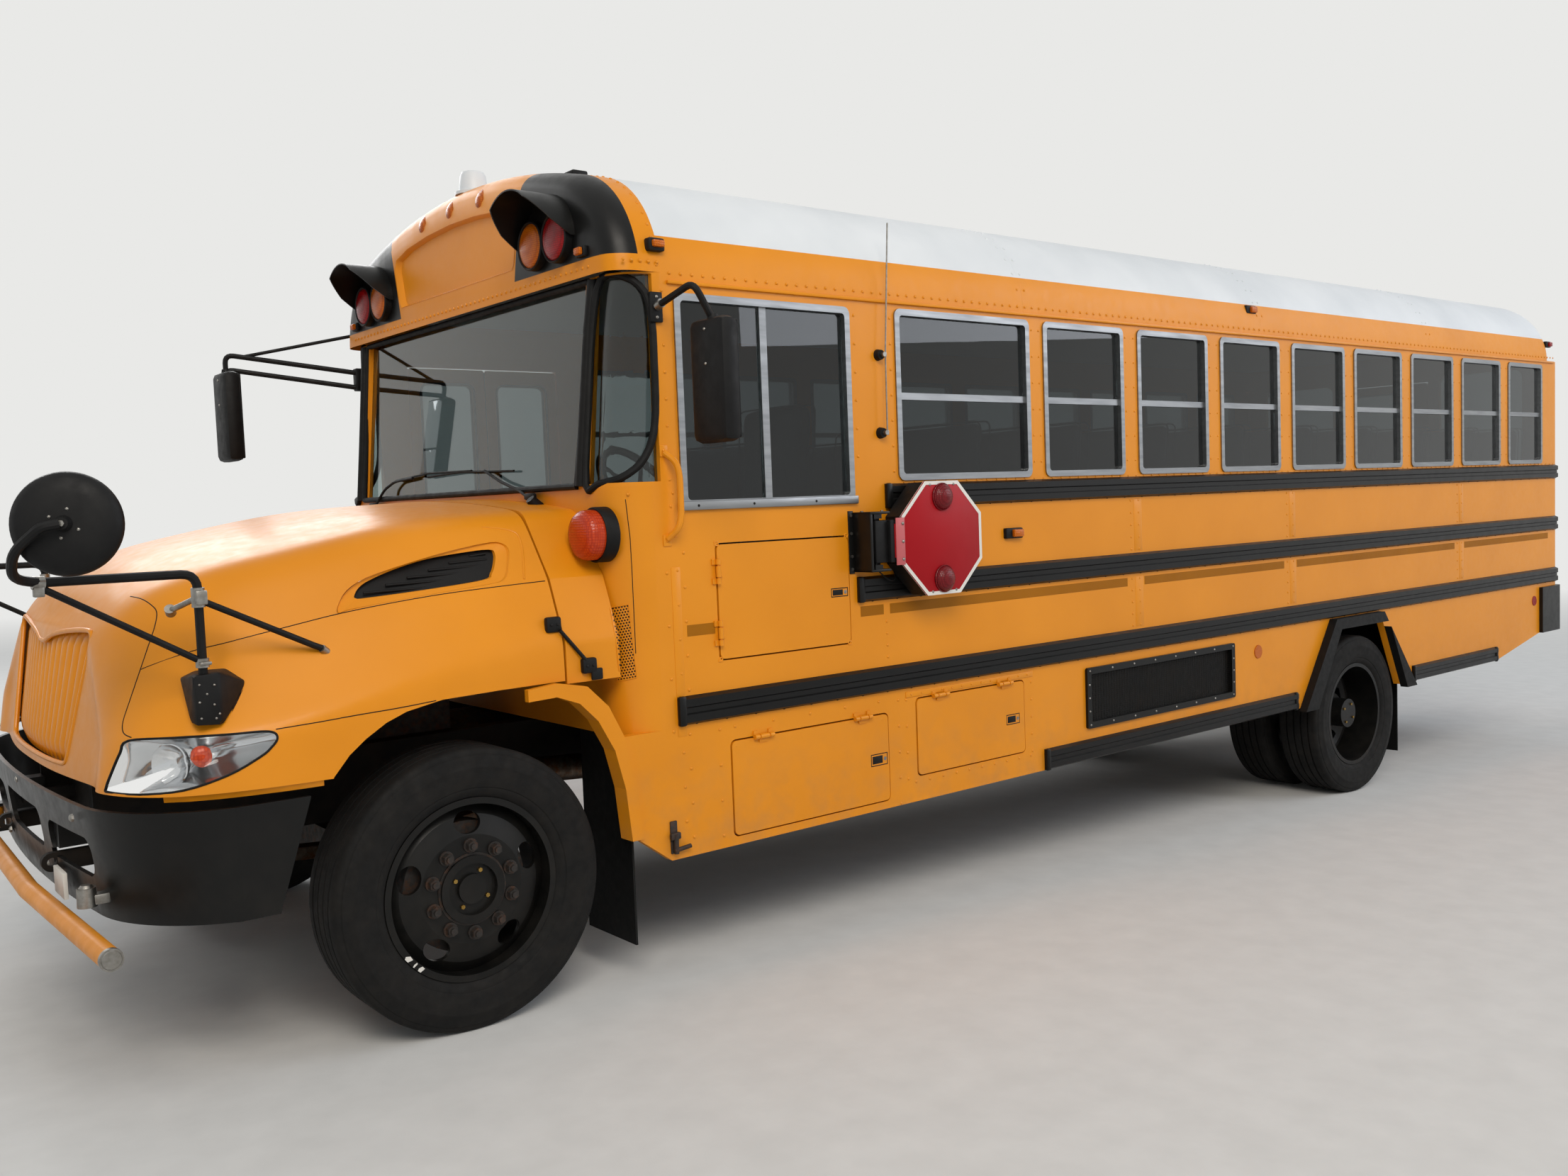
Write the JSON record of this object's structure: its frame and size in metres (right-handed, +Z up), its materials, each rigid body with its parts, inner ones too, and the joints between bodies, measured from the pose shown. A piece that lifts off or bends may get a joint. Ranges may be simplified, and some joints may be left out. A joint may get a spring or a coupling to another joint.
{
  "type": "school bus",
  "caption": "Conventional school bus with a tilting hood, hollow cabin, bench seats, stop arm, crossing arm and hinged doors.",
  "frame": {"origin": "on the road under the middle of the bus's overall box", "axes": "+X forward, +Y to the driver's side, +Z up from the road; the body itself stands 1.64 degrees tail high"},
  "size_m": [9.7772, 3.05, 3.2209],
  "materials": {
    "yellow paint": "gloss",
    "white paint": "gloss",
    "black paint": "satin",
    "frame paint": "matte",
    "stop red paint": "satin",
    "window frame": "satin",
    "glass": "gloss",
    "tyre": "matte",
    "rubber": "matte",
    "mirror housing": "satin",
    "lamp lens": "gloss",
    "headlamp lens": "gloss",
    "vent plastic": "matte",
    "seat cover": "satin",
    "dash plastic": "matte",
    "floor cover": "matte",
    "cast iron": "matte",
    "steel": "satin"
  },
  "bodies": {
    "bus_body": {"bench_seats_left": "seat cover", "bench_seats_right": "seat cover", "bus_floor": "floor cover", "chassis_frame": "frame paint", "drive_shaft": "steel", "driver_station": "dash plastic", "engine": "cast iron", "exhaust": "steel", "front_axle": "cast iron", "front_body": "yellow paint", "front_bumper": "black paint", "front_roof_cap": "yellow paint", "fuel_tank": "frame paint", "lamp_visors": "black paint", "leaf_springs": "steel", "left_side_wall": "yellow paint", "marker_lamps": "lamp lens", "rear_axle": "cast iron", "rear_bumper": "black paint", "rear_view_mirrors": "mirror housing", "rear_wall": "yellow paint", "right_side_wall": "yellow paint", "roof": "white paint", "rub_rails": "black paint", "side_grille": "vent plastic", "stop_arm_bracket": "black paint", "warning_lamps": "lamp lens", "wheel_arch_rubber": "rubber", "window_frames": "window frame", "window_glass": "glass", "windshield": "glass"},
    "hood_body": {"hood": "yellow paint", "grille": "yellow paint", "headlamps": "headlamp lens", "hood_vents": "vent plastic", "cross_view_mirrors": "mirror housing"},
    "stop_arm": {"stop_arm": "stop red paint"},
    "crossing_arm": {"crossing_arm": "yellow paint"},
    "entrance_door_front": {"entrance_door_front": "yellow paint"},
    "entrance_door_rear": {"entrance_door_rear": "yellow paint"},
    "exit_door": {"exit_door": "yellow paint"},
    "electric_door": {"electric_door": "yellow paint"},
    "battery_door": {"battery_door": "yellow paint"},
    "fuel_door": {"fuel_door": "yellow paint"},
    "steer_left": {"knuckle_left": "cast iron"},
    "steer_right": {"knuckle_right": "cast iron"},
    "front_left_wheel": {"front_tyre_left": "tyre", "front_wheel_left": "black paint"},
    "front_right_wheel": {"front_tyre_right": "tyre", "front_wheel_right": "black paint"},
    "rear_left_wheels": {"rear_tyres_left": "tyre", "rear_wheels_left": "black paint"},
    "rear_right_wheels": {"rear_tyres_right": "tyre", "rear_wheels_right": "black paint"}
  },
  "joints": [
    {"name": "steer_left", "type": "hinge", "parent": "bus_body", "child": "steer_left", "pos_m": [3.59242, 0.86, 0.46], "axis": [0.0286, 0, 0.9996], "range_deg": [-35, 35]},
    {"name": "steer_right", "type": "hinge", "parent": "bus_body", "child": "steer_right", "pos_m": [3.59242, -0.86, 0.46], "axis": [0.0286, 0, 0.9996], "range_deg": [-35, 35]},
    {"name": "front_left_spin", "type": "hinge", "parent": "steer_left", "child": "front_left_wheel", "pos_m": [3.59242, 1.046, 0.46], "axis": [0, 1, 0], "continuous": true},
    {"name": "front_right_spin", "type": "hinge", "parent": "steer_right", "child": "front_right_wheel", "pos_m": [3.59242, -1.046, 0.46], "axis": [0, 1, 0], "continuous": true},
    {"name": "rear_left_spin", "type": "hinge", "parent": "bus_body", "child": "rear_left_wheels", "pos_m": [-1.99787, 0.92, 0.46], "axis": [0, 1, 0], "continuous": true},
    {"name": "rear_right_spin", "type": "hinge", "parent": "bus_body", "child": "rear_right_wheels", "pos_m": [-1.99787, -0.92, 0.46], "axis": [0, 1, 0], "continuous": true},
    {"name": "hood_tilt", "type": "hinge", "parent": "bus_body", "child": "hood_body", "pos_m": [4.6043, 0, 0.68613], "axis": [0, 1, 0], "range_deg": [0, 60]},
    {"name": "stop_arm_swing", "type": "hinge", "parent": "bus_body", "child": "stop_arm", "pos_m": [1.9429, 1.3, 1.54866], "axis": [-0.0286, 0, -0.9996], "range_deg": [0, 90]},
    {"name": "crossing_arm_swing", "type": "hinge", "parent": "bus_body", "child": "crossing_arm", "pos_m": [4.63171, -0.89, 0.52528], "axis": [-0.0286, 0, -0.9996], "range_deg": [0, 90]},
    {"name": "entrance_front_swing", "type": "hinge", "parent": "bus_body", "child": "entrance_door_front", "pos_m": [2.72426, -1.2315, 1.51528], "axis": [0.0286, 0, 0.9996], "range_deg": [0, 88]},
    {"name": "entrance_rear_swing", "type": "hinge", "parent": "bus_body", "child": "entrance_door_rear", "pos_m": [1.9006, -1.2315, 1.53886], "axis": [-0.0286, 0, -0.9996], "range_deg": [0, 88]},
    {"name": "exit_door_swing", "type": "hinge", "parent": "bus_body", "child": "exit_door", "pos_m": [-4.79686, -0.337, 1.91571], "axis": [0.0286, 0, 0.9996], "range_deg": [0, 110]},
    {"name": "electric_door_swing", "type": "hinge", "parent": "bus_body", "child": "electric_door", "pos_m": [2.64728, 1.2315, 1.34241], "axis": [-0.0286, 0, -0.9996], "range_deg": [0, 110]},
    {"name": "battery_door_swing", "type": "hinge", "parent": "bus_body", "child": "battery_door", "pos_m": [2.15791, 1.2315, 0.84722], "axis": [0.9996, 0, -0.0286], "range_deg": [0, 85]},
    {"name": "fuel_door_swing", "type": "hinge", "parent": "bus_body", "child": "fuel_door", "pos_m": [1.26936, 1.2315, 0.91067], "axis": [0.9996, 0, -0.0286], "range_deg": [0, 85]}
  ],
  "couplings": [
    {"joint": "steer_right", "follows": "steer_left", "ratio": 1},
    {"joint": "entrance_rear_swing", "follows": "entrance_front_swing", "ratio": 1}
  ]
}
